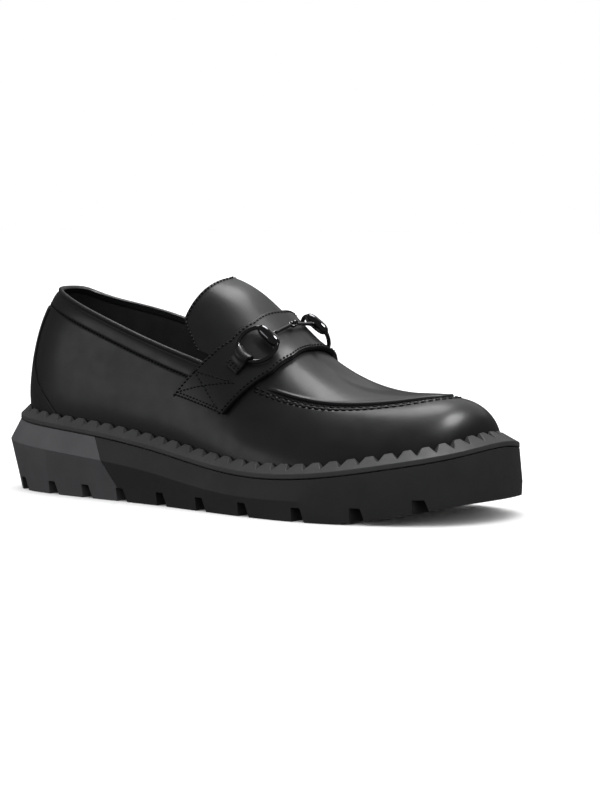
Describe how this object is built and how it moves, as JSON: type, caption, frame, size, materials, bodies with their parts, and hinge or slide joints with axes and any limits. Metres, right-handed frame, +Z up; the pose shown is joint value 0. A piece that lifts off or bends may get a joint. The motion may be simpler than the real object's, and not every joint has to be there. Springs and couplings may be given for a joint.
{
  "type": "bit loafer",
  "caption": "Chunky slip-on leather loafer for the right foot: hollow upper, saddle strap with a black metal bit, toothed welt and lugged rubber sole.",
  "frame": {"origin": "centre of the sole's length and width, on the floor", "axes": "+Z up, +X from heel to toe, -Y to the lateral side of this right shoe"},
  "size_m": [0.302, 0.1153, 0.1158],
  "materials": {
    "outsole_rubber": "matte black rubber",
    "heel_rubber": "matte dark grey rubber",
    "welt_rubber": "satin black rubber",
    "insole_lining": "black lining leather",
    "upper_leather": "polished black leather",
    "tongue_leather": "polished black leather",
    "strap_leather": "polished black leather",
    "tab_leather": "polished black leather",
    "bit_metal": "gloss black"
  },
  "bodies": {
    "root": {"outsole": "outsole_rubber", "heel_block": "heel_rubber", "welt": "welt_rubber", "insole": "insole_lining", "upper": "upper_leather", "tongue": "tongue_leather", "saddle_strap": "strap_leather", "bit_tab_lateral": "tab_leather", "bit_tab_medial": "tab_leather", "bit_lateral": "bit_metal", "bit_medial": "bit_metal"}
  },
  "joints": []
}
